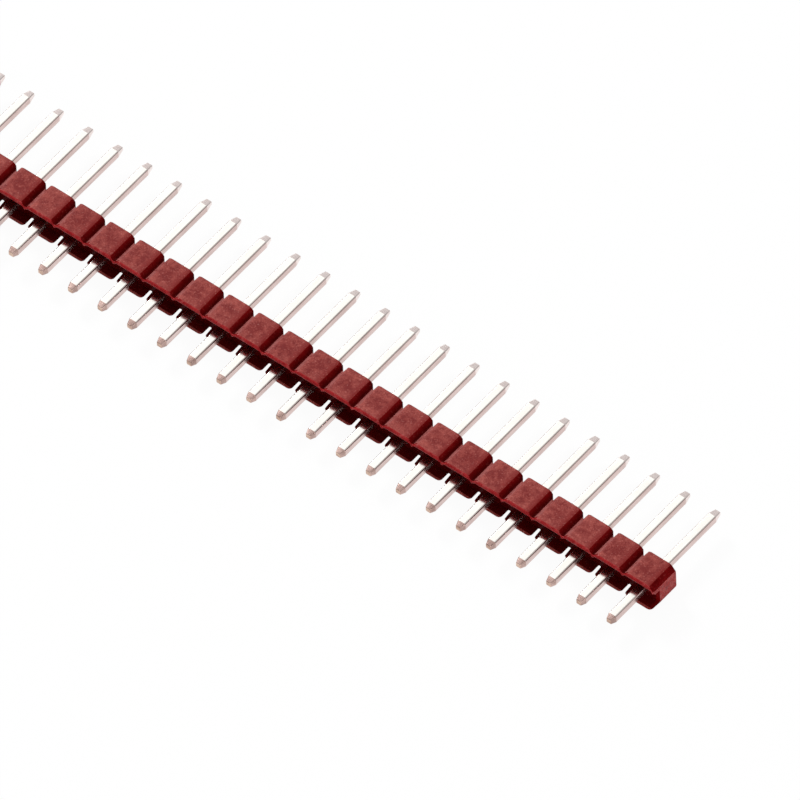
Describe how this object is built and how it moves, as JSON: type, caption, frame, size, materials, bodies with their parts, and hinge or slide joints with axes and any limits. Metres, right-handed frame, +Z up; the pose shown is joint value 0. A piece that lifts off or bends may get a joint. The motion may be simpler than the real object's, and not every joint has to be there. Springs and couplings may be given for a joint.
{
  "type": "pin header strip",
  "caption": "Break-away single-row pin header: a grooved plastic strip that holds a row of square posts, long mating posts on one side and short solder tails on the other.",
  "frame": {"origin": "centre of the footprint of housing and pins together, on the surface that the strip lies on", "axes": "+X along the row, +Y along the pins towards the mating posts, +Z up from the flat side the housing lies on"},
  "size_m": [0.1016, 0.0116, 0.0025],
  "materials": {
    "housing_plastic": "matte moulded, smoother in the grooves",
    "tinned_brass": "bright tin plating, bare brown metal at the cut ends"
  },
  "bodies": {
    "root": {"housing": "housing_plastic", "pin_01": "tinned_brass", "pin_02": "tinned_brass", "pin_03": "tinned_brass", "pin_04": "tinned_brass", "pin_05": "tinned_brass", "pin_06": "tinned_brass", "pin_07": "tinned_brass", "pin_08": "tinned_brass", "pin_09": "tinned_brass", "pin_10": "tinned_brass", "pin_11": "tinned_brass", "pin_12": "tinned_brass", "pin_13": "tinned_brass", "pin_14": "tinned_brass", "pin_15": "tinned_brass", "pin_16": "tinned_brass", "pin_17": "tinned_brass", "pin_18": "tinned_brass", "pin_19": "tinned_brass", "pin_20": "tinned_brass", "pin_21": "tinned_brass", "pin_22": "tinned_brass", "pin_23": "tinned_brass", "pin_24": "tinned_brass", "pin_25": "tinned_brass", "pin_26": "tinned_brass", "pin_27": "tinned_brass", "pin_28": "tinned_brass", "pin_29": "tinned_brass", "pin_30": "tinned_brass", "pin_31": "tinned_brass", "pin_32": "tinned_brass", "pin_33": "tinned_brass", "pin_34": "tinned_brass", "pin_35": "tinned_brass", "pin_36": "tinned_brass", "pin_37": "tinned_brass", "pin_38": "tinned_brass", "pin_39": "tinned_brass", "pin_40": "tinned_brass"}
  },
  "joints": []
}
